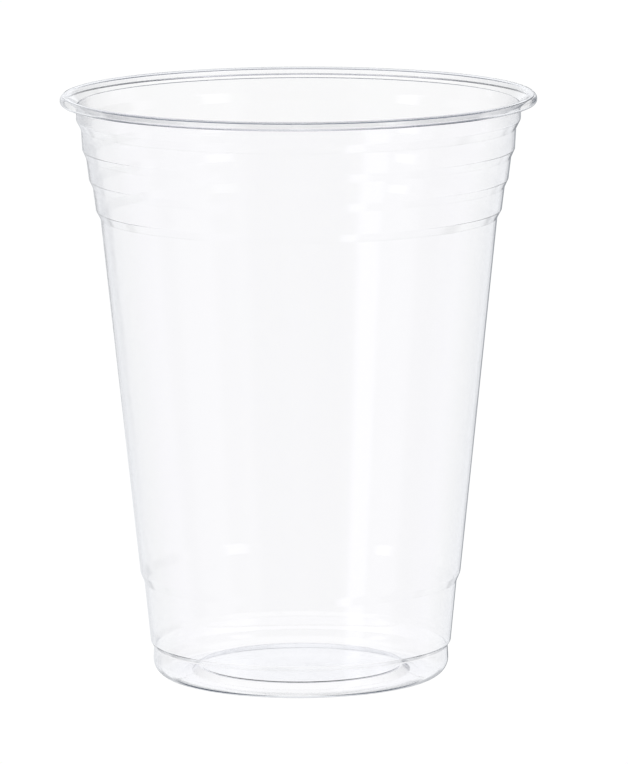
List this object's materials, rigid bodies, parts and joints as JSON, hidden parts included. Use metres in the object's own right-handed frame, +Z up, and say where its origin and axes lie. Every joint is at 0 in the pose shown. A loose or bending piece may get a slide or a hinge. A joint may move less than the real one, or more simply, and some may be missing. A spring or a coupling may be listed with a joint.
{
  "type": "disposable drinking cup",
  "caption": "Clear tapered disposable drinking cup with a turned-out lip, stepped stacking rings below it, a stepped lower band and a raised base panel inside a standing ring.",
  "frame": {"origin": "on the cup's axis, at the plane its standing ring rests on", "axes": "+Z up along the cup's axis of revolution, towards the mouth; X and Y are any two directions across it"},
  "size_m": [0.098, 0.098, 0.1209],
  "materials": {
    "clear_plastic": "clear, glossy, very faintly blue-grey in thick edges"
  },
  "bodies": {
    "root": {"cup": "clear_plastic"}
  },
  "joints": []
}
